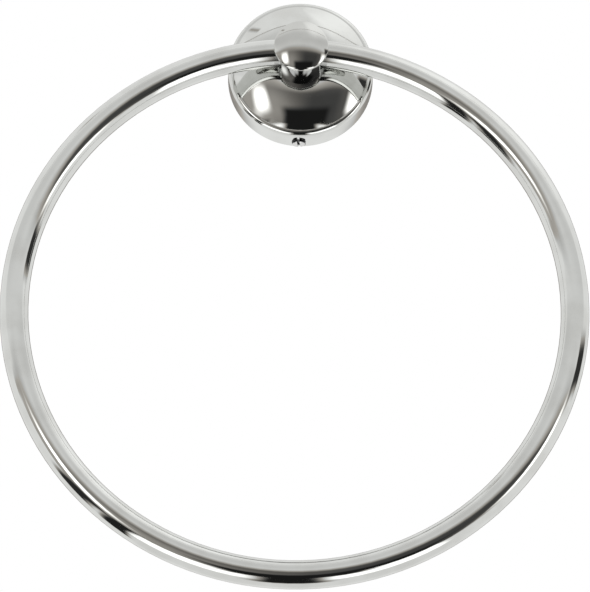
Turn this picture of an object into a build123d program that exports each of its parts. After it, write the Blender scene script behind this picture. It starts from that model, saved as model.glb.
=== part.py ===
from build123d import *
import math
import os

# Towel ring: a bent tube ring that swings in a cross-bored post, on a domed rose
# that hides its wall bracket.
# Frame: the wall is the plane Y = 0, the post points along -Y, Z is up, and the
# origin is the middle of the rose's back. Heights are distances from the wall.

# Ring
tube_diameter = 10.0
tube_wall = 1.0
ring_diameter = 196.0  # of the tube's centre line
ring_height = 23.1  # of the tube's centre line, and of the cross bore
ring_end_gap = 6.0  # between the tube's two ends, hidden in the bore
bore_clearance = 0.45

# Rose
rose_diameter = 52.0
rose_wall = 2.0
rim_height = 8.3
lip_radius = 1.9
dome_rise = 7.5  # from the lip to where the dome would cross the axis

# Post
neck_diameter = 17.6
head_overhang = 0.85  # how far the head stands out past the neck
head_seat = 28.75  # height of the head's back
head_edge = 1.1  # width of the head's plain edge
head_crown = 3.0
head_rounding = 0.45
spigot_diameter = 10.0
spigot_clearance = 0.05
spigot_recess = 0.3  # how far the spigot stops short of the washer

# Screw that holds the post, and its washer
screw_diameter = 4.0
screw_reach = 31.3  # height of the screw's tip
screw_head_diameter = 8.0
screw_head_height = 2.6
thread_clearance = 0.03
hole_clearance = 0.25
tip_clearance = 0.4
washer_diameter = 14.0
washer_thickness = 1.0

# Grub screw at the bottom of the rim
grub_diameter = 5.0
grub_height = 3.8
grub_proud = 1.0  # how far it stands out of the rim
grub_point_diameter = 3.5
grub_chamfer = 0.3
boss_diameter = 7.4
boss_gap = 0.4  # between the boss and the bracket's flat
slot_width = 0.9
slot_depth = 1.2

# Wall bracket
bracket_thickness = 6.0
bracket_base = 2.5
bracket_clearance = 0.3
bracket_rim = 5.2  # width of the raised rim round the pocket
bracket_flat = 20.6  # from the axis down to the flat that the grub screw bears on
bracket_undercut = 10.0  # degrees
fixing_spacing = 26.0
fixing_diameter = 4.5
fixing_sink_diameter = 8.6
lug_width = 7.0
lug_height = 2.0

# Worked out from the sizes above
tube_radius = tube_diameter / 2
ring_radius = ring_diameter / 2
rose_radius = rose_diameter / 2
neck_radius = neck_diameter / 2
head_radius = neck_radius + head_overhang
spigot_radius = spigot_diameter / 2
bore_radius = tube_radius + bore_clearance
rose_inner = rose_radius - rose_wall
# The crown of the ring stands above the bore's axis, so that its curve lies evenly in the bore.
ring_lift = neck_radius**2 / (4 * ring_radius)

# The dome is part of a ball whose middle lies behind the wall.
crease_radius = rose_radius - lip_radius
crease_height = rim_height + lip_radius
dome_radius = (crease_radius**2 + dome_rise**2) / (2 * dome_rise)
dome_middle = crease_height + dome_rise - dome_radius


def ball_height(radius, ball_radius):
    """Height of a ball round the dome's middle, at a distance from the axis."""
    return dome_middle + math.sqrt(ball_radius**2 - radius**2)


def ball_arc(start_radius, end_radius, ball_radius):
    """Arc of the dome's profile between two distances from the axis."""
    middle_radius = (start_radius + end_radius) / 2
    stations = (start_radius, middle_radius, end_radius)
    return ThreePointArc(*[(r, -ball_height(r, ball_radius)) for r in stations])


seat_height = ball_height(neck_radius, dome_radius)
seat_inside = seat_height - rose_wall
inner_dome_radius = dome_radius - rose_wall
inner_rim_height = ball_height(rose_inner, inner_dome_radius)
screw_seat = seat_inside - washer_thickness
head_front = head_seat + head_edge

undercut = math.tan(math.radians(bracket_undercut))
bracket_radius = rose_inner - bracket_clearance
bracket_back_radius = bracket_radius - bracket_thickness * undercut
pocket_radius = bracket_radius - bracket_rim
grub_outer = rose_radius + grub_proud
# The point meets the slanting flat with its outer edge.
grub_point_height = grub_height + grub_point_diameter / 2
grub_tip = bracket_flat - (bracket_thickness - grub_point_height) * undercut + thread_clearance
boss_end = bracket_flat + boss_gap
fixing_places = [(0, -fixing_spacing / 2), (0, fixing_spacing / 2)]

os.makedirs("parts", exist_ok=True)

# Ring: a tube bent round and sawn through at the top
with BuildPart() as ring:
    with BuildSketch(Plane.YZ):
        with Locations((-ring_height, ring_lift)):
            Circle(tube_radius)
            Circle(tube_radius - tube_wall, mode=Mode.SUBTRACT)
    revolve(axis=Axis((0, -ring_height, ring_lift - ring_radius), (0, 1, 0)))
    with Locations((0, -ring_height, ring_lift)):
        Box(ring_end_gap, 2 * tube_diameter, 2 * tube_diameter, mode=Mode.SUBTRACT)
ring.part.label = "ring"
export_step(ring.part, "parts/ring.step")

# Rose: a hollow domed cover with a straight rim, a rounded lip and a flat seat for the post
with BuildPart() as rose:
    with BuildSketch(Plane.XY):
        with BuildLine():
            spigot_hole = spigot_radius + spigot_clearance
            Line((rose_radius, 0), (rose_radius, -rim_height))
            lip_middle = (crease_radius, -rim_height)
            CenterArc(lip_middle, lip_radius, 0, -90)
            ball_arc(crease_radius, neck_radius, dome_radius)
            Line((neck_radius, -seat_height), (spigot_hole, -seat_height))
            Line((spigot_hole, -seat_height), (spigot_hole, -seat_inside))
            inner_seat = ball_arc(washer_diameter / 2, rose_inner, inner_dome_radius)
            Polyline((spigot_hole, -seat_inside), (washer_diameter / 2, -seat_inside), inner_seat @ 0)
            Polyline(inner_seat @ 1, (rose_inner, 0), (rose_radius, 0))
        make_face()
    revolve(axis=Axis.Y)
    # Boss that carries the grub screw
    with BuildSketch(Plane.XY.offset(-boss_end)):
        with Locations((0, -grub_height)):
            Circle(boss_diameter / 2)
    extrude(amount=-(rose_inner + rose_wall / 2 - boss_end))
    with BuildSketch(Plane.XY):
        with Locations((0, -grub_height)):
            Circle(grub_diameter / 2 + thread_clearance)
    extrude(amount=-rose_diameter, mode=Mode.SUBTRACT)
    # Lug that hooks behind the bracket's upper edge
    lug_inner = bracket_radius - bracket_clearance
    with BuildSketch(Plane.XZ):
        with Locations((0, (lug_inner + rose_inner + rose_wall / 2) / 2)):
            Rectangle(lug_width, rose_inner + rose_wall / 2 - lug_inner)
    extrude(amount=lug_height)
rose.part.label = "rose"
export_step(rose.part, "parts/rose.step")

# Post: a turned neck and crowned head, bored across for the ring
with BuildPart() as post:
    with BuildSketch(Plane.XY):
        with BuildLine():
            spigot_end = seat_inside + spigot_recess
            crown = (0, -(head_front + head_crown))
            Polyline(
                crown,
                (0, -spigot_end),
                (spigot_radius, -spigot_end),
                (spigot_radius, -seat_height),
                (neck_radius, -seat_height),
                (neck_radius, -head_seat),
                (head_radius, -head_seat),
                (head_radius, -head_front),
            )
            crown_radius = (head_radius**2 + head_crown**2) / (2 * head_crown)
            RadiusArc((head_radius, -head_front), crown, crown_radius)
        make_face()
    revolve(axis=Axis.Y)
    head_edges = post.edges().filter_by(GeomType.CIRCLE)
    fillet([e for e in head_edges if abs(e.radius - head_radius) < thread_clearance], head_rounding)
    with BuildSketch(Plane.YZ):
        with Locations((-ring_height, 0)):
            Circle(bore_radius)
    extrude(amount=neck_diameter, both=True, mode=Mode.SUBTRACT)
    with BuildSketch(Plane.XZ):
        Circle(screw_diameter / 2 + hole_clearance)
    extrude(amount=ring_height, mode=Mode.SUBTRACT)
    with BuildSketch(Plane.XZ):
        Circle(screw_diameter / 2 + thread_clearance)
    extrude(amount=screw_reach + tip_clearance, mode=Mode.SUBTRACT)
post.part.label = "post"
export_step(post.part, "parts/post.step")

# Washer behind the rose
with BuildPart() as post_washer:
    with BuildSketch(Plane.XZ.offset(screw_seat)):
        Circle(washer_diameter / 2)
        Circle(screw_diameter / 2 + hole_clearance, mode=Mode.SUBTRACT)
    extrude(amount=washer_thickness)
post_washer.part.label = "post_washer"
export_step(post_washer.part, "parts/post_washer.step")

# Screw from behind, between the ring's ends and into the head
with BuildPart() as post_screw:
    with BuildSketch(Plane.XZ.offset(screw_seat - screw_head_height)):
        Circle(screw_head_diameter / 2)
    extrude(amount=screw_head_height)
    rear_edge = post_screw.edges().filter_by(GeomType.CIRCLE).sort_by(Axis.Y)[-1]
    fillet(rear_edge, screw_head_height / 3)
    with BuildSketch(Plane.XZ.offset(screw_seat)):
        Circle(screw_diameter / 2)
    extrude(amount=screw_reach - screw_seat)
    with BuildSketch(Plane.XZ.offset(screw_seat - screw_head_height)):
        Rectangle(screw_head_diameter, slot_width)
    extrude(amount=slot_depth, mode=Mode.SUBTRACT)
post_screw.part.label = "post_screw"
export_step(post_screw.part, "parts/post_screw.step")

# Grub screw, slotted, with its point against the bracket's flat
with BuildPart() as grub_screw:
    with BuildSketch(Plane.XY.offset(-grub_tip)):
        with Locations((0, -grub_height)):
            Circle(grub_diameter / 2)
    extrude(amount=-(grub_outer - grub_tip))
    point_edge = grub_screw.edges().filter_by(GeomType.CIRCLE).sort_by(Axis.Z)[-1]
    chamfer(point_edge, (grub_diameter - grub_point_diameter) / 2)
    outer_edge = grub_screw.edges().filter_by(GeomType.CIRCLE).sort_by(Axis.Z)[0]
    fillet(outer_edge, grub_chamfer)
    with BuildSketch(Plane.XY.offset(-grub_outer)):
        with Locations((0, -grub_height)):
            Rectangle(slot_width, grub_diameter)
    extrude(amount=slot_depth, mode=Mode.SUBTRACT)
grub_screw.part.label = "grub_screw"
export_step(grub_screw.part, "parts/grub_screw.step")

# Wall bracket: a disc with an undercut edge, a pocket for the fixing screws and a flat below
with BuildPart() as wall_bracket:
    with BuildSketch(Plane.XY):
        with BuildLine():
            Polyline(
                (0, 0),
                (bracket_back_radius, 0),
                (bracket_radius, -bracket_thickness),
                (pocket_radius, -bracket_thickness),
                (pocket_radius, -bracket_base),
                (0, -bracket_base),
                close=True,
            )
        make_face()
    revolve(axis=Axis.Y)
    with BuildSketch(Plane.YZ):
        with BuildLine():
            Polyline(
                (0, -bracket_flat + bracket_thickness * undercut),
                (-bracket_thickness, -bracket_flat),
                (-bracket_thickness, -rose_radius),
                (0, -rose_radius),
                close=True,
            )
        make_face()
    extrude(amount=rose_radius, both=True, mode=Mode.SUBTRACT)
    with Locations(Plane.XZ.offset(bracket_base)):
        with Locations(*fixing_places):
            CounterSinkHole(fixing_diameter / 2, fixing_sink_diameter / 2)
wall_bracket.part.label = "wall_bracket"
export_step(wall_bracket.part, "parts/wall_bracket.step")
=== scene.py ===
import math

import bmesh
import bpy
from mathutils import Matrix, Vector


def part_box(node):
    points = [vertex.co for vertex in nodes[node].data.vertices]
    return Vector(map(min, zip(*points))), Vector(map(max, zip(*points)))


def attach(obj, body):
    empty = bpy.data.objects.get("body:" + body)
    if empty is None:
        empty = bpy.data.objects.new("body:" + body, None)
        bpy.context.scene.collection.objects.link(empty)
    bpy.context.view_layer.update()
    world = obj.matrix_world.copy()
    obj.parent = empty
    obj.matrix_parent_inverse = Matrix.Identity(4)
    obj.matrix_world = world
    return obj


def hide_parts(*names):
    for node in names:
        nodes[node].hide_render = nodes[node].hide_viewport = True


bl_info = {
    "name": "Towel Ring",
    "version": (1, 0, 0),
    "blender": (4, 5, 0),
    "location": "View3D > Sidebar > Towel Ring",
    "description": "Finishes the towel ring in chrome, steel and zinc, and sets its stage",
    "category": "Object",
}

PICTURE_HEIGHT = 592
SENSOR_SIZE = 36.0

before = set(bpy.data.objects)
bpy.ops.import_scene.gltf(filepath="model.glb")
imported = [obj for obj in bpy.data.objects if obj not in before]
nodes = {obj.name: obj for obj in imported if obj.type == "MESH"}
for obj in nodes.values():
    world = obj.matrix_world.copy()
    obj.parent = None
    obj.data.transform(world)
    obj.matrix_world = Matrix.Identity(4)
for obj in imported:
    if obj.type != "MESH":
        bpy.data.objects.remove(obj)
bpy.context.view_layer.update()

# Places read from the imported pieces, in metres
ring_low, ring_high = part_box("ring")
tube_radius = (ring_high.y - ring_low.y) / 2
ring_radius = (ring_high.x - ring_low.x) / 2 - tube_radius
ring_middle = Vector((0, (ring_low.y + ring_high.y) / 2, ring_low.z + tube_radius + ring_radius))
rose_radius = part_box("rose")[1].x
grub_low, grub_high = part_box("grub_screw")
grub_radius = (grub_high.x - grub_low.x) / 2
grub_axis = (grub_low.y + grub_high.y) / 2
grub_length = grub_high.z - grub_low.z


class ChromeSettings(bpy.types.PropertyGroup):
    """Looks of the chrome-plated ring, rose and post."""

    colour: bpy.props.FloatVectorProperty(
        name="Chrome Colour",
        description="Colour of clean chrome",
        subtype="COLOR",
        default=(0.66, 0.668, 0.648),
    )
    smudge_colour: bpy.props.FloatVectorProperty(
        name="Smudge Colour",
        description="Colour of chrome that has been touched",
        subtype="COLOR",
        default=(0.60, 0.604, 0.582),
    )
    handled_colour: bpy.props.FloatVectorProperty(
        name="Handled Colour",
        description="Colour of the duller chrome on the post",
        subtype="COLOR",
        default=(0.55, 0.552, 0.53),
    )
    # Painted dark reflection: the neck's chrome is darkened to stand in for the dark surroundings it
    # mirrors.
    neck_reflection_colour: bpy.props.FloatVectorProperty(
        name="Neck Colour",
        description="Colour of the darker chrome on the post's neck",
        subtype="COLOR",
        default=(0.3, 0.302, 0.304),
    )
    # Painted shade and dirt: this colour darkens the creases and the joints between parts.
    shade_and_grime_colour: bpy.props.FloatVectorProperty(
        name="Grime Colour",
        description="Colour of the dirt that cleaning leaves in the creases",
        subtype="COLOR",
        default=(0.10, 0.096, 0.088),
    )
    roughness: bpy.props.FloatProperty(
        name="Roughness",
        description="Roughness of clean chrome",
        subtype="FACTOR",
        default=0.03,
    )
    smudge_roughness: bpy.props.FloatProperty(
        name="Smudge Roughness",
        description="Roughness of smudged chrome",
        subtype="FACTOR",
        default=0.07,
    )
    grime_roughness: bpy.props.FloatProperty(
        name="Grime Roughness",
        description="Roughness of the dirt",
        subtype="FACTOR",
        default=0.35,
    )
    smudge_size: bpy.props.FloatProperty(
        name="Smudge Size",
        description="Size of one smudge",
        subtype="DISTANCE",
        default=0.011,
        precision=4,
    )
    ripple_size: bpy.props.FloatProperty(
        name="Ripple Size",
        description="Length of the plate's slight ripple",
        subtype="DISTANCE",
        default=0.014,
        precision=4,
    )
    ripple_depth: bpy.props.FloatProperty(
        name="Ripple Depth",
        description="Height of the plate's slight ripple",
        subtype="DISTANCE",
        default=0.00002,
        precision=6,
    )
    # This share also sets how strongly the painted shade covers the creases and joints.
    shade_and_grime_share: bpy.props.FloatProperty(
        name="Grime Share",
        description="How thickly the dirt covers the chrome",
        subtype="FACTOR",
        default=0.45,
    )
    # A line of painted shade and dirt; the same width softens the edge of the neck's painted dark
    # reflection.
    shade_and_grime_width: bpy.props.FloatProperty(
        name="Grime Width",
        description="Width of a line of dirt",
        subtype="DISTANCE",
        default=0.0004,
        precision=5,
    )
    lip_width: bpy.props.FloatProperty(
        name="Lip Width",
        description="From the rose's edge in to its crease",
        subtype="DISTANCE",
        default=0.0019,
        precision=4,
    )
    neck_radius: bpy.props.FloatProperty(
        name="Neck Radius",
        description="Radius of the post's foot",
        subtype="DISTANCE",
        default=0.0088,
        precision=4,
    )
    head_seat: bpy.props.FloatProperty(
        name="Head Seat",
        description="From the wall to the back of the post's head",
        subtype="DISTANCE",
        default=0.02875,
        precision=5,
    )
    bore_radius: bpy.props.FloatProperty(
        name="Bore Radius",
        description="Radius of the post's cross bore",
        subtype="DISTANCE",
        default=0.00545,
        precision=5,
    )


class CrownSettings(bpy.types.PropertyGroup):
    """Shape of the rose's crown, which flattens towards the post."""

    crease_height: bpy.props.FloatProperty(
        name="Crease Height",
        description="From the wall to the crease inside the lip",
        subtype="DISTANCE",
        default=0.0102,
        precision=4,
    )
    rise: bpy.props.FloatProperty(
        name="Rise",
        description="From the crease to the post's foot",
        subtype="DISTANCE",
        default=0.00587,
        precision=5,
    )
    fullness: bpy.props.FloatProperty(
        name="Fullness",
        description="How much flatter the crown is round the post than at the crease",
        default=1.8,
    )


class GrubScrewSettings(bpy.types.PropertyGroup):
    """Sizes and colours of the grub screw."""

    pitch: bpy.props.FloatProperty(
        name="Pitch",
        description="Distance from one turn of the thread to the next",
        subtype="DISTANCE",
        default=0.0008,
        precision=5,
    )
    point_radius: bpy.props.FloatProperty(
        name="Point Radius",
        description="Radius of the flat on the point",
        subtype="DISTANCE",
        default=0.00175,
        precision=5,
    )
    end_chamfer: bpy.props.FloatProperty(
        name="End Chamfer",
        description="Chamfer round the slotted end",
        subtype="DISTANCE",
        default=0.0003,
        precision=5,
    )
    slot_width: bpy.props.FloatProperty(
        name="Slot Width",
        description="Width of the driver's slot",
        subtype="DISTANCE",
        default=0.0009,
        precision=5,
    )
    slot_depth: bpy.props.FloatProperty(
        name="Slot Depth",
        description="Depth of the driver's slot",
        subtype="DISTANCE",
        default=0.0012,
        precision=5,
    )
    slot_turn: bpy.props.FloatProperty(
        name="Slot Turn",
        description="Turn of the slot away from straight front to back",
        subtype="ANGLE",
        default=math.radians(7),
    )
    thread_colour: bpy.props.FloatVectorProperty(
        name="Thread Colour",
        description="Colour of the blackened thread and slot",
        subtype="COLOR",
        default=(0.022, 0.022, 0.024),
    )
    worn_colour: bpy.props.FloatVectorProperty(
        name="Worn Colour",
        description="Colour of the thread's rubbed crests",
        subtype="COLOR",
        default=(0.12, 0.12, 0.12),
    )
    end_colour: bpy.props.FloatVectorProperty(
        name="End Colour",
        description="Colour of the bright slotted end",
        subtype="COLOR",
        default=(0.66, 0.66, 0.65),
    )


class MetalSettings(bpy.types.PropertyGroup):
    """Looks of the post's screw and washer, and of the wall bracket."""

    steel_colour: bpy.props.FloatVectorProperty(
        name="Steel Colour",
        description="Lighter colour of the plated steel",
        subtype="COLOR",
        default=(0.62, 0.62, 0.61),
    )
    steel_shade: bpy.props.FloatVectorProperty(
        name="Steel Shade",
        description="Darker colour of the plated steel",
        subtype="COLOR",
        default=(0.45, 0.45, 0.44),
    )
    steel_grain: bpy.props.FloatProperty(
        name="Steel Grain",
        description="Size of the plated steel's grain",
        subtype="DISTANCE",
        default=0.0007,
        precision=5,
    )
    zinc_colour: bpy.props.FloatVectorProperty(
        name="Zinc Colour",
        description="Lighter colour of the cast zinc",
        subtype="COLOR",
        default=(0.56, 0.57, 0.58),
    )
    zinc_shade: bpy.props.FloatVectorProperty(
        name="Zinc Shade",
        description="Darker colour of the cast zinc",
        subtype="COLOR",
        default=(0.44, 0.45, 0.46),
    )
    zinc_grain: bpy.props.FloatProperty(
        name="Zinc Grain",
        description="Size of the casting's sandy grain",
        subtype="DISTANCE",
        default=0.0011,
        precision=5,
    )
    zinc_relief: bpy.props.FloatProperty(
        name="Zinc Relief",
        description="Height of the casting's sandy grain",
        subtype="DISTANCE",
        default=0.00008,
        precision=6,
    )


class StageSettings(bpy.types.PropertyGroup):
    """Camera, softboxes, floor and surroundings."""

    camera_distance: bpy.props.FloatProperty(
        name="Camera Distance",
        description="From the ring's middle",
        subtype="DISTANCE",
        default=1.96,
    )
    camera_pitch: bpy.props.FloatProperty(
        name="Camera Pitch",
        description="How far below the ring it looks up from",
        subtype="ANGLE",
        default=math.radians(21.54),
    )
    camera_roll: bpy.props.FloatProperty(
        name="Camera Roll",
        description="Turn about the line of sight",
        subtype="ANGLE",
        default=math.radians(1.42),
    )
    aim_height: bpy.props.FloatProperty(
        name="Aim Height",
        description="Where the camera looks, above the ring's middle",
        subtype="DISTANCE",
        default=0.00458,
        precision=5,
    )
    pixels_per_metre: bpy.props.FloatProperty(
        name="Picture Scale",
        description="Pixels to a metre at the ring's middle",
        default=2862.6,
    )
    floor_drop: bpy.props.FloatProperty(
        name="Floor Drop",
        description="From the rose's middle down to the floor",
        subtype="DISTANCE",
        default=2.4,
    )
    floor_size: bpy.props.FloatProperty(
        name="Floor Size",
        description="Side of the floor",
        subtype="DISTANCE",
        default=60.0,
    )
    floor_colour: bpy.props.FloatVectorProperty(
        name="Floor Colour",
        description="Colour of the floor",
        subtype="COLOR",
        default=(0.92, 0.92, 0.92),
    )
    room_light: bpy.props.FloatProperty(
        name="Room Light",
        description="Light from all round",
        default=0.8,
    )
    warm_colour: bpy.props.FloatVectorProperty(
        name="Warm Colour",
        description="Tint of the flats that are neither black nor white",
        subtype="COLOR",
        default=(1.0, 0.948, 0.89),
    )
    softbox_distance: bpy.props.FloatProperty(
        name="Softbox Distance",
        description="From the post's head",
        subtype="DISTANCE",
        default=3.0,
    )
    softbox_fade: bpy.props.FloatProperty(
        name="Softbox Fade",
        description="Share of a softbox's side over which its light fades out",
        subtype="FACTOR",
        default=0.42,
    )


# Tests for corners and faces
MERGE_DISTANCE = 1e-7
FOOT_TOLERANCE = 1e-5
NEAR_RIM = 0.9  # share of the neck's radius
FACES_FRONT = -0.5
FACES_END = 0.9
CREASE_ANGLE = math.radians(20)

# Detail of each pattern, and the range of it that a finish uses
SMUDGE_DETAIL = 4.0
SMUDGE_RANGE = (0.35, 0.72)
SHADE_AND_GRIME_DETAIL = 3.0
SHADE_AND_GRIME_RANGE = (0.3, 0.6)
SHADE_AND_GRIME_BLOT = 6  # size of a blot of painted shade and dirt, in widths of its line
RIPPLE_DETAIL = 1.0
BLOTCH_DETAIL = 3.0
RUBBED_RANGE = (0.35, 0.65)
RUBBED_SHARE = 0.25  # of the thread's depth
STEEL_DETAIL = 3.0
ZINC_DETAIL = 5.0
ROUGH_RANGE = (0.3, 0.7)
THREAD_ROUGHNESS = (0.2, 0.34)
STEEL_ROUGHNESS = (0.22, 0.38)
ZINC_ROUGHNESS = (0.42, 0.6)
FLOOR_ROUGHNESS = 0.9


def add_node(tree, kind, inputs=None, **settings):
    """A node of that kind, with its settings, and its sockets fed by number or by link."""
    made = tree.nodes.new(kind)
    for name, value in settings.items():
        setattr(made, name, value)
    for key, value in (inputs or {}).items():
        if isinstance(value, bpy.types.NodeSocket):
            tree.links.new(value, made.inputs[key])
        else:
            made.inputs[key].default_value = value
    return made


def maths(tree, operation, *values):
    """The output of a Math node."""
    return add_node(tree, "ShaderNodeMath", dict(enumerate(values)), operation=operation).outputs[0]


def smooth_step(tree, value, low, high, start=0.0, end=1.0):
    """A value that goes smoothly from start to end as another goes from low to high."""
    sockets = {"Value": value, "From Min": low, "From Max": high, "To Min": start, "To Max": end}
    return add_node(tree, "ShaderNodeMapRange", sockets, interpolation_type="SMOOTHSTEP").outputs[0]


def within(tree, value, low, high, fade):
    """One between two edges and none outside them, with soft edges."""
    half = fade / 2
    rising = smooth_step(tree, value, low - half, low + half)
    falling = smooth_step(tree, value, high - half, high + half, 1.0, 0.0)
    return maths(tree, "MULTIPLY", rising, falling)


def distance(tree, first, second):
    """The length of a step along two axes."""
    squares = maths(tree, "MULTIPLY", first, first), maths(tree, "MULTIPLY", second, second)
    return maths(tree, "SQRT", maths(tree, "ADD", *squares))


def noise(tree, place, size, detail):
    """The output of a Noise Texture whose blots have that size."""
    sockets = {"Vector": place, "Scale": 1 / size, "Detail": detail}
    return add_node(tree, "ShaderNodeTexNoise", sockets).outputs["Fac"]


def mix_colours(tree, share, first, second):
    """The output of a colour mix, each colour given as numbers or by link."""
    made = add_node(tree, "ShaderNodeMix", data_type="RGBA")
    sockets = {kind.identifier: kind for kind in made.inputs}
    for key, value in (("Factor_Float", share), ("A_Color", first), ("B_Color", second)):
        if isinstance(value, bpy.types.NodeSocket):
            tree.links.new(value, sockets[key])
        else:
            sockets[key].default_value = (*value, 1)
    return made.outputs[2]


def mix_values(tree, share, first, second):
    """The output of a mix of two numbers, each given as a number or by link."""
    sockets = {0: share, 2: first, 3: second}
    return add_node(tree, "ShaderNodeMix", sockets, data_type="FLOAT").outputs[0]


def new_material(name, metallic=0.0):
    """An empty node material, its tree, its shader, and the place on the object with its parts."""
    material = bpy.data.materials.new(name)
    material.use_nodes = True
    tree = material.node_tree
    tree.nodes.clear()
    shader = add_node(tree, "ShaderNodeBsdfPrincipled", {"Metallic": metallic})
    output = add_node(tree, "ShaderNodeOutputMaterial")
    tree.links.new(shader.outputs[0], output.inputs["Surface"])
    place = add_node(tree, "ShaderNodeTexCoord").outputs["Object"]
    parts = add_node(tree, "ShaderNodeSeparateXYZ", {0: place}).outputs
    return material, tree, shader, place, parts


def paint(tree, shader, colour, roughness):
    """Gives a shader its colour and roughness."""
    tree.links.new(colour, shader.inputs["Base Color"])
    tree.links.new(roughness, shader.inputs["Roughness"])


def add_relief(tree, shader, height, depth):
    """Raises the surface by a pattern."""
    bump = add_node(tree, "ShaderNodeBump", {"Height": height, "Strength": 1.0, "Distance": depth})
    tree.links.new(bump.outputs[0], shader.inputs["Normal"])


def deselect_all():
    """Leaves nothing selected."""
    bpy.ops.object.select_all(action="DESELECT")


def select_only(piece):
    """Leaves one piece selected and active."""
    deselect_all()
    piece.select_set(True)
    bpy.context.view_layer.objects.active = piece


def copied_node(name, new_name):
    """A copy of a CAD node with its own mesh, its loose corners merged."""
    piece = bpy.data.objects.new(new_name, nodes[name].data.copy())
    piece.data.name = new_name
    bpy.context.scene.collection.objects.link(piece)
    select_only(piece)
    bpy.ops.mesh.customdata_custom_splitnormals_clear()
    bpy.ops.object.mode_set(mode="EDIT")
    bpy.ops.mesh.select_all(action="SELECT")
    bpy.ops.mesh.remove_doubles(threshold=MERGE_DISTANCE)
    bpy.ops.object.mode_set(mode="OBJECT")
    return piece


def finish_copy(piece, material, node):
    """Plates a reshaped copy and puts it in its node's place."""
    bpy.ops.object.shade_smooth_by_angle(angle=CREASE_ANGLE)
    piece.data.materials.clear()
    piece.data.materials.append(material)
    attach(piece, "holder")
    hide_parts(node)


def finish_node(name, material):
    """Gives a CAD node its finish."""
    piece = nodes[name]
    piece.data.materials.clear()
    piece.data.materials.append(material)


def chrome_plate(name, settings, clean_colour, shade_and_grime_places, dark_reflection_places=None):
    """Polished chrome with faint smudges and a slight ripple, with painted shade and dirt in the places
    given, and a painted dark reflection in the dark reflection places given.
    """
    material, tree, shader, place, parts = new_material(name, metallic=1.0)
    smudges = noise(tree, place, settings.smudge_size, SMUDGE_DETAIL)
    smudges = smooth_step(tree, smudges, *SMUDGE_RANGE)
    blots = noise(tree, place, settings.shade_and_grime_width * SHADE_AND_GRIME_BLOT, SHADE_AND_GRIME_DETAIL)
    patchy = smooth_step(tree, blots, *SHADE_AND_GRIME_RANGE, 0.0, settings.shade_and_grime_share)
    # Painted shade and dirt, in patches, in the places given.
    shade_and_grime = maths(tree, "MULTIPLY", shade_and_grime_places(tree, parts, settings), patchy)
    colour = mix_colours(tree, smudges, clean_colour, settings.smudge_colour)
    # Painted dark reflection on the post's neck.
    if dark_reflection_places:
        colour = mix_colours(tree, dark_reflection_places(tree, parts, settings), colour, settings.neck_reflection_colour)
    colour = mix_colours(tree, shade_and_grime, colour, settings.shade_and_grime_colour)
    rough = smooth_step(tree, smudges, 0.0, 1.0, settings.roughness, settings.smudge_roughness)
    rough = smooth_step(tree, shade_and_grime, 0.0, 1.0, rough, settings.grime_roughness)
    paint(tree, shader, colour, rough)
    ripple = noise(tree, place, settings.ripple_size, RIPPLE_DETAIL)
    add_relief(tree, shader, ripple, settings.ripple_depth)
    return material


def crease_radius(settings):
    """From the rose's axis out to the crease inside its lip."""
    return rose_radius - settings.lip_width


def ring_shade_and_grime(tree, parts, settings):
    """Painted shade and dirt where the ring goes into the post."""
    across = maths(tree, "ABSOLUTE", parts["X"])
    edge = settings.neck_radius + settings.shade_and_grime_width
    near_post = smooth_step(tree, across, edge, edge + settings.shade_and_grime_width, 1.0, 0.0)
    at_top = smooth_step(tree, parts["Z"], -2 * tube_radius, -tube_radius)
    return maths(tree, "MULTIPLY", near_post, at_top)


def rose_shade_and_grime(tree, parts, settings):
    """Painted shade and dirt in the lower part of the crease inside the lip, and round the post's foot.
    """
    outward = distance(tree, parts["X"], parts["Z"])
    width = settings.shade_and_grime_width
    crease = crease_radius(settings)
    foot = settings.neck_radius
    in_crease = within(tree, outward, crease - width / 2, crease + width / 2, width)
    below = smooth_step(tree, parts["Z"], 0.0, crease / 2, 1.0, 0.0)
    in_crease = maths(tree, "MULTIPLY", in_crease, below)
    round_foot = smooth_step(tree, outward, foot, foot + 2 * width, 1.0, 0.0)
    return maths(tree, "MAXIMUM", in_crease, round_foot)


def post_bore_shade(tree, parts, settings):
    """Painted shade round the mouths of the bore, where the ring goes in."""
    forward = maths(tree, "SUBTRACT", parts["Y"], ring_middle.y)
    outward = distance(tree, forward, parts["Z"])
    edge = settings.bore_radius
    return smooth_step(tree, outward, edge, edge + settings.shade_and_grime_width, 1.0, 0.0)


def neck_reflection_place(tree, parts, settings):
    """The post's neck, where a painted dark reflection darkens the chrome."""
    back = -settings.head_seat
    return smooth_step(tree, parts["Y"], back, back + settings.shade_and_grime_width)


def axis_distance(corner):
    """From the rose's axis out to a corner of a mesh."""
    return math.hypot(corner.co.x, corner.co.z)


def on_crown(corner, chrome, crown):
    """Whether a corner of the rose is on its crown."""
    inside_lip = axis_distance(corner) < crease_radius(chrome)
    above_crease = -corner.co.y > crown.crease_height
    return inside_lip and above_crease and corner.normal.y < FACES_FRONT


def crown_height(outward, chrome, crown):
    """Height of the rose's crown above the wall, at a distance from its axis."""
    share = max(outward - chrome.neck_radius, 0) / (crease_radius(chrome) - chrome.neck_radius)
    return crown.crease_height + crown.rise * (1 - share**crown.fullness)


class TOWELRING_OT_ring(bpy.types.Operator):
    """Plate the ring with chrome"""

    bl_idname = "towelring.ring"
    bl_label = "Ring"

    def execute(self, context):
        settings = context.scene.towel_ring_chrome
        finish_node("ring", chrome_plate("ring_chrome", settings, settings.colour, ring_shade_and_grime))
        return {"FINISHED"}


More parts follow.
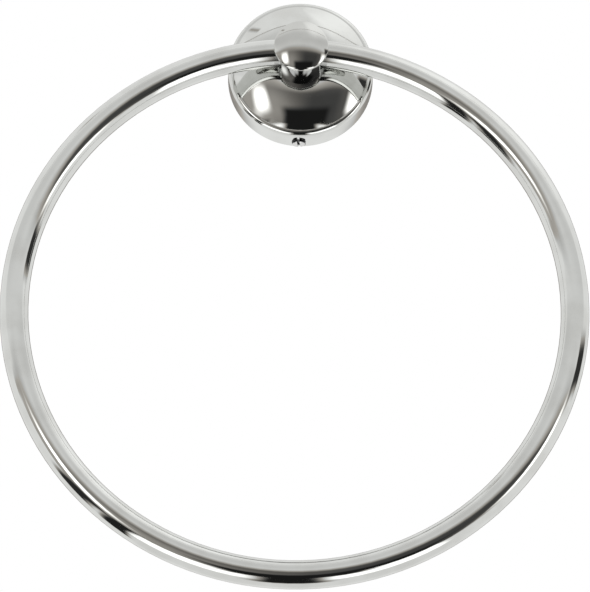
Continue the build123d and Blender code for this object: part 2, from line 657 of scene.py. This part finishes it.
class TOWELRING_OT_rose(bpy.types.Operator):
    """Flatten the rose's crown towards the post, and plate the rose with chrome"""

    bl_idname = "towelring.rose"
    bl_label = "Rose"

    def execute(self, context):
        chrome = context.scene.towel_ring_chrome
        crown = context.scene.towel_ring_crown
        rose = copied_node("rose", "crowned_rose")
        corners = [corner for corner in rose.data.vertices if on_crown(corner, chrome, crown)]
        if not corners:
            raise RuntimeError("The rose has no crown to flatten")
        for corner in corners:
            corner.co.y = -crown_height(axis_distance(corner), chrome, crown)
        rose.data.update()
        finish_copy(rose, chrome_plate("rose_chrome", chrome, chrome.colour, rose_shade_and_grime), "rose")
        return {"FINISHED"}


class TOWELRING_OT_post(bpy.types.Operator):
    """Seat the post's neck on the rose's crown, and plate the post with chrome"""

    bl_idname = "towelring.post"
    bl_label = "Post"

    def execute(self, context):
        chrome = context.scene.towel_ring_chrome
        crown = context.scene.towel_ring_crown
        post = copied_node("post", "seated_post")
        corners = post.data.vertices
        rim = NEAR_RIM * chrome.neck_radius
        foot = max(corner.co.y for corner in corners if axis_distance(corner) > rim)
        for corner in corners:
            if abs(corner.co.y - foot) < FOOT_TOLERANCE:
                corner.co.y = -crown_height(chrome.neck_radius, chrome, crown)
        post.data.update()
        # Painted shade round the bore's mouths, and a painted dark reflection on the neck.
        plate = chrome_plate("post_chrome", chrome, chrome.handled_colour, post_bore_shade, neck_reflection_place)
        finish_copy(post, plate, "post")
        return {"FINISHED"}


# Proportions of a metric thread, as shares of its pitch
THREAD_DEPTH = 0.541
CREST_FLAT = 0.125
ROOT_FLAT = 0.25

# How the grub screw is cut
SPARE_TURNS = 2
TURN_STEPS = 64
SLOT_REACH = 3  # length of the slot's cutter, in radii of the screw
SMOOTH_ANGLE = math.radians(35)


def select_faces(piece, wanted):
    """Selects the faces of a piece in edit mode that a test picks."""
    bpy.ops.mesh.select_all(action="DESELECT")
    shape = bmesh.from_edit_mesh(piece.data)
    for face in shape.faces:
        if wanted(face):
            face.select_set(True)
    bmesh.update_edit_mesh(piece.data)


def threaded_bar(settings):
    """A threaded bar along Z, longer than the screw at both ends, with flat closed ends."""
    pitch = settings.pitch
    depth = THREAD_DEPTH * pitch
    flank = (1 - CREST_FLAT - ROOT_FLAT) * pitch / 2
    deselect_all()
    bpy.ops.mesh.primitive_plane_add(size=pitch)
    bar = bpy.context.active_object
    bpy.ops.object.mode_set(mode="EDIT")
    bpy.ops.mesh.select_mode(type="VERT")
    bpy.ops.mesh.merge(type="CENTER")
    bpy.ops.transform.translate(value=(grub_radius - depth, 0, -SPARE_TURNS * pitch))
    crest = CREST_FLAT * pitch
    root = ROOT_FLAT * pitch
    outline = ((depth, 0, flank), (0, 0, crest), (-depth, 0, flank), (0, 0, root))
    for step in outline:
        bpy.ops.mesh.extrude_vertices_move(TRANSFORM_OT_translate={"value": step})
    bpy.ops.object.mode_set(mode="OBJECT")
    thread = bar.modifiers.new("thread", "SCREW")
    thread.screw_offset = pitch
    thread.iterations = math.ceil(grub_length / pitch) + 2 * SPARE_TURNS
    thread.steps = thread.render_steps = TURN_STEPS
    bpy.ops.object.modifier_apply(modifier=thread.name)
    bpy.ops.object.mode_set(mode="EDIT")
    bpy.ops.mesh.select_all(action="SELECT")
    bpy.ops.mesh.remove_doubles(threshold=MERGE_DISTANCE)
    for height, outside in ((-pitch / 2, -1), (grub_length + pitch / 2, 1)):
        bpy.ops.mesh.select_all(action="SELECT")
        bpy.ops.mesh.bisect(
            plane_co=(0, 0, height),
            plane_no=(0, 0, outside),
            use_fill=True,
            clear_outer=True,
            threshold=MERGE_DISTANCE,
        )
    bpy.ops.mesh.select_all(action="SELECT")
    bpy.ops.mesh.normals_make_consistent(inside=False)
    bpy.ops.object.mode_set(mode="OBJECT")
    return bar


def turned_blank(settings):
    """The outline of the finished screw: a bar with a chamfered end and a cone point."""
    point = grub_radius - settings.point_radius
    ends = (
        (-1, settings.end_chamfer, grub_radius - settings.end_chamfer),
        (1, point, settings.point_radius),
    )
    deselect_all()
    bpy.ops.mesh.primitive_cylinder_add(vertices=TURN_STEPS, radius=grub_radius, depth=grub_length)
    blank = bpy.context.active_object
    bpy.ops.object.mode_set(mode="EDIT")
    bpy.ops.transform.translate(value=(0, 0, grub_length / 2))
    for side, chamfer, end_radius in ends:
        select_faces(blank, lambda face: face.normal.z * side > FACES_END)
        bpy.ops.transform.translate(value=(0, 0, -side * chamfer))
        bpy.ops.mesh.extrude_region_move(TRANSFORM_OT_translate={"value": (0, 0, side * chamfer)})
        shrink = end_radius / grub_radius
        bpy.ops.transform.resize(value=(shrink, shrink, 1), center_override=(0, 0, 0))
    bpy.ops.object.mode_set(mode="OBJECT")
    return blank


def slot_cutter(settings):
    """A bar as wide as the driver's slot, across the screw's outer end."""
    deselect_all()
    bpy.ops.mesh.primitive_cube_add(size=1)
    cutter = bpy.context.active_object
    bpy.ops.object.mode_set(mode="EDIT")
    reach = SLOT_REACH * grub_radius
    bpy.ops.transform.resize(value=(settings.slot_width, reach, 2 * settings.slot_depth))
    bpy.ops.transform.rotate(value=settings.slot_turn, orient_axis="Z", center_override=(0, 0, 0))
    bpy.ops.object.mode_set(mode="OBJECT")
    return cutter


def shape_with(piece, tool, operation):
    """Cuts a piece with another one, which is then deleted."""
    cut = piece.modifiers.new("cut", "BOOLEAN")
    cut.operation = operation
    cut.object = tool
    cut.solver = "EXACT"
    select_only(piece)
    bpy.ops.object.modifier_apply(modifier=cut.name)
    bpy.data.meshes.remove(tool.data)


def blackened_thread(name, settings):
    """Blackened steel with rubbed crests and a bright slotted end."""
    material, tree, shader, place, parts = new_material(name, metallic=1.0)
    depth = THREAD_DEPTH * settings.pitch
    forward = maths(tree, "SUBTRACT", parts["Y"], grub_axis)
    outward = distance(tree, parts["X"], forward)
    crests = smooth_step(tree, outward, grub_radius - depth * RUBBED_SHARE, grub_radius)
    blotches = noise(tree, place, settings.pitch, BLOTCH_DETAIL)
    rubbed = maths(tree, "MULTIPLY", crests, smooth_step(tree, blotches, *RUBBED_RANGE))
    colour = mix_colours(tree, rubbed, settings.thread_colour, settings.worn_colour)
    end = smooth_step(tree, parts["Z"], grub_low.z, grub_low.z + settings.end_chamfer, 1.0, 0.0)
    colour = mix_colours(tree, end, colour, settings.end_colour)
    paint(tree, shader, colour, smooth_step(tree, blotches, *ROUGH_RANGE, *THREAD_ROUGHNESS))
    return material


class TOWELRING_OT_grub_screw(bpy.types.Operator):
    """Cut the grub screw with its thread, slot and point"""

    bl_idname = "towelring.grub_screw"
    bl_label = "Grub Screw"

    def execute(self, context):
        settings = context.scene.towel_ring_grub_screw
        blank = turned_blank(settings)
        shape_with(blank, slot_cutter(settings), "DIFFERENCE")
        screw = threaded_bar(settings)
        shape_with(screw, blank, "INTERSECT")
        screw.name = screw.data.name = "threaded_grub_screw"
        bpy.ops.object.mode_set(mode="EDIT")
        bpy.ops.mesh.select_all(action="SELECT")
        bpy.ops.mesh.remove_doubles(threshold=MERGE_DISTANCE)
        bpy.ops.transform.translate(value=(0, grub_axis, grub_low.z))
        bpy.ops.object.mode_set(mode="OBJECT")
        bpy.ops.object.shade_smooth_by_angle(angle=SMOOTH_ANGLE)
        screw.data.materials.append(blackened_thread("grub_screw_steel", settings))
        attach(screw, "holder")
        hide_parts("grub_screw")
        return {"FINISHED"}


def plated_steel(name, settings):
    """Zinc-plated steel with a fine grain."""
    material, tree, shader, place, _ = new_material(name, metallic=1.0)
    grain = noise(tree, place, settings.steel_grain, STEEL_DETAIL)
    colour = mix_colours(tree, grain, settings.steel_colour, settings.steel_shade)
    paint(tree, shader, colour, smooth_step(tree, grain, *ROUGH_RANGE, *STEEL_ROUGHNESS))
    return material


class TOWELRING_OT_post_screw(bpy.types.Operator):
    """Plate the screw that holds the post, and its washer, with zinc"""

    bl_idname = "towelring.post_screw"
    bl_label = "Post Screw and Washer"

    def execute(self, context):
        for name in ("post_screw", "post_washer"):
            finish_node(name, plated_steel(name + "_steel", context.scene.towel_ring_metal))
        return {"FINISHED"}


def cast_zinc(name, settings):
    """Bare zinc casting with a fine sandy skin."""
    material, tree, shader, place, _ = new_material(name, metallic=1.0)
    skin = noise(tree, place, settings.zinc_grain, ZINC_DETAIL)
    colour = mix_colours(tree, skin, settings.zinc_colour, settings.zinc_shade)
    paint(tree, shader, colour, smooth_step(tree, skin, *ROUGH_RANGE, *ZINC_ROUGHNESS))
    add_relief(tree, shader, skin, settings.zinc_relief)
    return material


class TOWELRING_OT_wall_bracket(bpy.types.Operator):
    """Give the wall bracket its bare cast zinc"""

    bl_idname = "towelring.wall_bracket"
    bl_label = "Wall Bracket"

    def execute(self, context):
        finish_node("wall_bracket", cast_zinc("wall_bracket_zinc", context.scene.towel_ring_metal))
        return {"FINISHED"}


# The softboxes, by bearing and height from the post's head: name, bearing, height,
# half width and half height in degrees, and brightness.
SOFTBOXES = (
    ("left_softbox", -39.5, -12.0, 11.0, 18.0, 2.6),
    ("right_softbox", 57.0, -11.5, 10.5, 18.5, 2.6),
)

# The flats round the part, which the chrome mirrors, painted one over the other.
# Front, arch and back flats: left, right, low and high edge at one metre off.
# Floor flats: left, right, near and far edge at one metre below.
# Side flats: left, right, low and high edge in degrees.
# The last two numbers are the softness of the edges and the brightness.
STUDIO_FLATS = (
    ("upper flat", "arch", -4.0, 4.0, 0.12, 1.90, 0.10, 0.92),
    ("middle of the upper flat", "arch", -4.0, 4.0, 0.40, 1.40, 0.60, 0.80),
    ("foot of the upper flat", "front", -4.0, 4.0, 0.0, 0.26, 0.30, 0.50),
    ("bright corner", "side", 25, 130, 46, 84, 30, 1.25),
    ("ceiling seam", "arch", -2.8, 2.8, 1.88, 1.96, 0.06, 0.38),
    ("thin bar", "side", -78, -62, 55, 58, 4, 0.40),
    ("side flats", "front", -2.2, 2.2, -1.0, 0.05, 0.40, 0.46),
    ("front flat", "front", -0.62, 1.15, -1.0, 0.08, 0.22, 0.11),
    ("middle of the front flat", "front", -0.25, 0.85, -1.0, -0.02, 0.30, 0.07),
    ("glow on the front flat", "front", -1.0, -0.15, -0.9, 0.05, 0.80, 0.42),
    ("low dark flat", "front", -0.32, 0.62, -1.1, -0.42, 0.20, 0.015),
    ("left floor strip", "floor", -1.35, -0.90, -0.6, 1.3, 0.20, 0.02),
    ("pale floor", "floor", -0.98, 0.98, -1.2, 1.15, 0.10, 0.95),
    ("bright floor edge", "floor", -0.98, 0.98, 0.25, 1.15, 0.12, 1.9),
    ("dark floor lane", "floor", -0.17, 0.19, -0.05, 1.4, 0.16, 0.015),
    ("end of the lane", "floor", -0.40, 0.48, 0.86, 1.6, 0.26, 0.015),
    ("left slit", "side", -104, -52, -33, -20, 6, 0.03),
    ("right slit", "side", 57, 104, 4, 16, 6, 0.04),
    ("rear flat", "back", -0.55, 0.55, 0.0, 0.85, 0.50, 0.30),
)
NEARLY_LEVEL = 0.001
CEILING_ARCH = 0.12  # rise of the arch at one metre to the side
HORIZON_FADE = 0.2
WARM_RANGE = (0.1, 0.62)  # brightness of the flats that are tinted
WARM_FADE = 0.12


def studio_flats(tree, parts):
    """Brightness of the flats by direction."""
    forward = maths(tree, "MULTIPLY", parts["Y"], -1.0)
    downward = maths(tree, "MULTIPLY", parts["Z"], -1.0)
    to_front = maths(tree, "MAXIMUM", forward, NEARLY_LEVEL)
    to_back = maths(tree, "MAXIMUM", parts["Y"], NEARLY_LEVEL)
    to_floor = maths(tree, "MAXIMUM", downward, NEARLY_LEVEL)
    across = maths(tree, "DIVIDE", parts["X"], to_front)
    upward = maths(tree, "DIVIDE", parts["Z"], to_front)
    arch = maths(tree, "MULTIPLY", maths(tree, "MULTIPLY", across, across), CEILING_ARCH)
    bearing = maths(tree, "DEGREES", maths(tree, "ARCTAN2", parts["X"], forward))
    height = maths(tree, "DEGREES", maths(tree, "ARCSINE", parts["Z"]))
    planes = {
        "front": (across, upward),
        "arch": (across, maths(tree, "SUBTRACT", upward, arch)),
        "back": (maths(tree, "DIVIDE", parts["X"], to_back), maths(tree, "DIVIDE", parts["Z"], to_back)),
        "floor": (maths(tree, "DIVIDE", parts["X"], to_floor), maths(tree, "DIVIDE", forward, to_floor)),
        "side": (bearing, height),
    }
    brightness = 1.0
    for _, plane, left, right, low, high, fade, value in STUDIO_FLATS:
        level, upright = planes[plane]
        between_sides = within(tree, level, left, right, fade)
        between_ends = within(tree, upright, low, high, fade)
        share = maths(tree, "MULTIPLY", between_sides, between_ends)
        brightness = mix_values(tree, share, brightness, value)
    return brightness


class TOWELRING_OT_stage(bpy.types.Operator):
    """Add the floor, softboxes, surroundings and camera"""

    bl_idname = "towelring.stage"
    bl_label = "Stage"

    def execute(self, context):
        settings = context.scene.towel_ring_stage
        self.add_floor(settings)
        self.add_softboxes(context, settings)
        self.add_surroundings(context, settings)
        self.add_camera(context, settings)
        context.scene.view_settings.view_transform = "Standard"
        return {"FINISHED"}

    def add_floor(self, settings):
        """A pale floor well below the part, which the chrome doesn't mirror."""
        deselect_all()
        bpy.ops.mesh.primitive_plane_add(size=settings.floor_size, location=(0, 0, -settings.floor_drop))
        floor = bpy.context.active_object
        floor.name = "floor"
        material, _, shader, _, _ = new_material("pale_floor")
        shader.inputs["Base Color"].default_value = (*settings.floor_colour, 1)
        shader.inputs["Roughness"].default_value = FLOOR_ROUGHNESS
        shader.inputs["Specular IOR Level"].default_value = 0.0
        floor.data.materials.append(material)
        floor.visible_glossy = False

    def add_softboxes(self, context, settings):
        """Two tall softboxes whose light fades towards their edges."""
        for name, bearing, height, half_width, half_height, brightness in SOFTBOXES:
            turn = math.radians(bearing)
            lift = math.radians(height)
            level = math.cos(lift)
            away = Vector((math.sin(turn) * level, -math.cos(turn) * level, math.sin(lift)))
            lamp = bpy.data.lights.new(name, "AREA")
            lamp.shape = "RECTANGLE"
            lamp.size = 2 * settings.softbox_distance * math.tan(math.radians(half_width))
            lamp.size_y = 2 * settings.softbox_distance * math.tan(math.radians(half_height))
            lamp.energy = brightness * math.pi * lamp.size * lamp.size_y
            self.fade_edges(lamp, settings.softbox_fade)
            holder = bpy.data.objects.new(name, lamp)
            holder.location = Vector((0, ring_middle.y, 0)) + settings.softbox_distance * away
            holder.rotation_euler = away.to_track_quat("Z", "Y").to_euler()
            holder.visible_camera = False
            context.scene.collection.objects.link(holder)

    def fade_edges(self, lamp, fade):
        """Lets a lamp's light fade towards its edges."""
        lamp.use_nodes = True
        tree = lamp.node_tree
        tree.nodes.clear()
        across = add_node(tree, "ShaderNodeNewGeometry").outputs["Parametric"]
        parts = add_node(tree, "ShaderNodeSeparateXYZ", {0: across}).outputs
        shares = [within(tree, parts[axis], fade / 2, 1 - fade / 2, fade) for axis in ("X", "Y")]
        light = add_node(tree, "ShaderNodeEmission", {"Strength": maths(tree, "MULTIPLY", *shares)})
        output = add_node(tree, "ShaderNodeOutputLight")
        tree.links.new(light.outputs[0], output.inputs[0])

    def add_surroundings(self, context, settings):
        """White for the camera down to the horizon, the flats for the chrome, even light for the rest."""
        world = bpy.data.worlds.new("studio")
        context.scene.world = world
        world.use_nodes = True
        tree = world.node_tree
        tree.nodes.clear()
        direction = add_node(tree, "ShaderNodeTexCoord").outputs["Generated"]
        parts = add_node(tree, "ShaderNodeSeparateXYZ", {0: direction}).outputs
        floor_tone = settings.floor_colour[0] * settings.room_light
        background = smooth_step(tree, parts["Z"], 0.0, HORIZON_FADE, floor_tone, 1.0)
        path = add_node(tree, "ShaderNodeLightPath").outputs
        brightness = mix_values(tree, path["Is Glossy Ray"], background, studio_flats(tree, parts))
        warmth = within(tree, brightness, *WARM_RANGE, WARM_FADE)
        tint = mix_colours(tree, warmth, (1, 1, 1), settings.warm_colour)
        seen = add_node(tree, "ShaderNodeBackground", {"Color": tint, "Strength": brightness})
        even = {"Color": (1, 1, 1, 1), "Strength": settings.room_light}
        light = add_node(tree, "ShaderNodeBackground", even)
        shown = maths(tree, "ADD", path["Is Camera Ray"], path["Is Glossy Ray"])
        shown = maths(tree, "ADD", shown, path["Is Transmission Ray"])
        sockets = {0: shown, 1: light.outputs[0], 2: seen.outputs[0]}
        mixed = add_node(tree, "ShaderNodeMixShader", sockets)
        output = add_node(tree, "ShaderNodeOutputWorld")
        tree.links.new(mixed.outputs[0], output.inputs["Surface"])

    def add_camera(self, context, settings):
        """A camera that looks up at the ring from below."""
        pitch = settings.camera_pitch
        back = Vector((0, -math.cos(pitch), -math.sin(pitch)))
        upward = Vector((0, -math.sin(pitch), math.cos(pitch)))
        eye = ring_middle + settings.camera_distance * back
        sight = ring_middle + settings.aim_height * upward - eye
        camera = bpy.data.cameras.new("camera")
        camera.sensor_width = SENSOR_SIZE
        pixels = settings.pixels_per_metre * settings.camera_distance
        camera.lens = pixels * SENSOR_SIZE / PICTURE_HEIGHT
        holder = bpy.data.objects.new("camera", camera)
        turn = sight.to_track_quat("-Z", "Y").to_matrix().to_4x4()
        roll = Matrix.Rotation(settings.camera_roll, 4, "Z")
        holder.matrix_world = Matrix.Translation(eye) @ turn @ roll
        context.scene.collection.objects.link(holder)
        context.scene.camera = holder


class TOWELRING_PT_panel(bpy.types.Panel):
    """Lists the towel ring's operators and settings."""

    bl_idname = "TOWELRING_PT_panel"
    bl_label = "Towel Ring"
    bl_space_type = "VIEW_3D"
    bl_region_type = "UI"
    bl_category = "Towel Ring"

    def draw(self, context):
        for operator in OPERATORS:
            self.layout.operator(operator.bl_idname)
        for group in SETTINGS:
            settings = getattr(context.scene, group)
            for name in settings.__annotations__:
                self.layout.prop(settings, name)


OPERATORS = (
    TOWELRING_OT_ring,
    TOWELRING_OT_rose,
    TOWELRING_OT_post,
    TOWELRING_OT_grub_screw,
    TOWELRING_OT_post_screw,
    TOWELRING_OT_wall_bracket,
    TOWELRING_OT_stage,
)
SETTINGS = {
    "towel_ring_chrome": ChromeSettings,
    "towel_ring_crown": CrownSettings,
    "towel_ring_grub_screw": GrubScrewSettings,
    "towel_ring_metal": MetalSettings,
    "towel_ring_stage": StageSettings,
}


def register():
    for group in SETTINGS.values():
        bpy.utils.register_class(group)
    for operator in OPERATORS:
        bpy.utils.register_class(operator)
    bpy.utils.register_class(TOWELRING_PT_panel)
    for name, group in SETTINGS.items():
        setattr(bpy.types.Scene, name, bpy.props.PointerProperty(type=group))


def unregister():
    for name in SETTINGS:
        delattr(bpy.types.Scene, name)
    bpy.utils.unregister_class(TOWELRING_PT_panel)
    for operator in reversed(OPERATORS):
        bpy.utils.unregister_class(operator)
    for group in reversed(SETTINGS.values()):
        bpy.utils.unregister_class(group)


def main():
    register()
    bpy.ops.towelring.ring()
    bpy.ops.towelring.rose()
    bpy.ops.towelring.post()
    bpy.ops.towelring.grub_screw()
    bpy.ops.towelring.post_screw()
    bpy.ops.towelring.wall_bracket()
    bpy.ops.towelring.stage()


if __name__ == "__main__":
    main()
